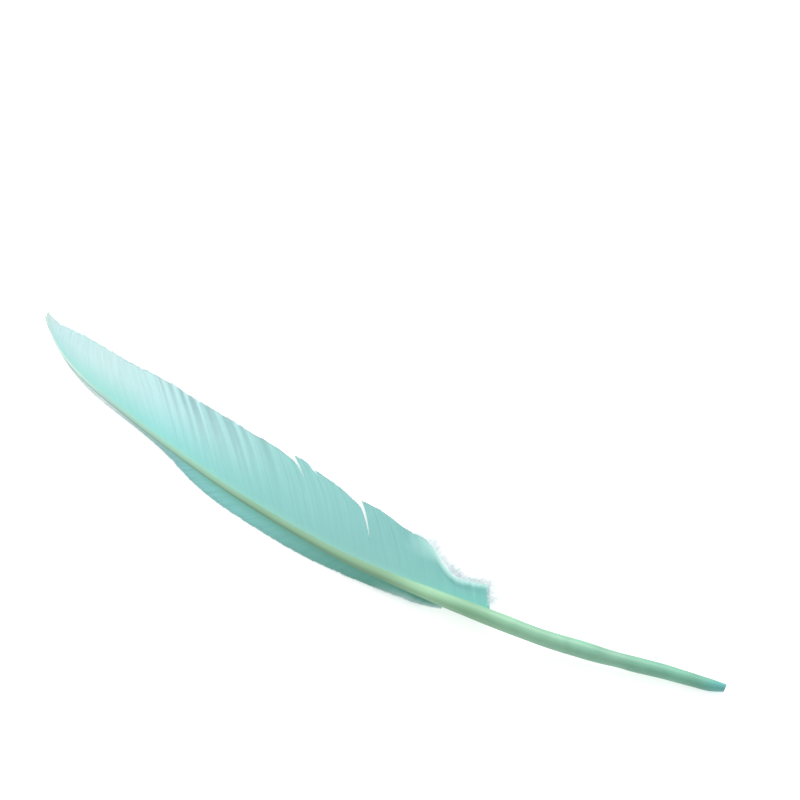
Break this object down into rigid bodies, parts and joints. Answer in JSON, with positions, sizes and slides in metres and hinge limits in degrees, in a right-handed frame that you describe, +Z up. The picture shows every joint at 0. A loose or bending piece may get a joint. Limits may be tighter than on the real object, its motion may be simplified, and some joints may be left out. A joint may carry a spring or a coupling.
{
  "type": "turkey feather",
  "caption": "Bowed turkey wing feather lying flat: tapering round quill, broad barbed vane on one side, narrow vane on the other, with natural splits in the margin.",
  "frame": {"origin": "middle of the ground that the feather covers, on the surface it lies on", "axes": "+X along the feather from its tip to the end of its quill, +Y towards the wide vane, +Z up through the feather's upper side"},
  "size_m": [0.2998, 0.0362, 0.009],
  "materials": {
    "vane": "satin",
    "quill": "satin",
    "down": "matte"
  },
  "bodies": {
    "root": {"feather": "vane"}
  },
  "joints": []
}
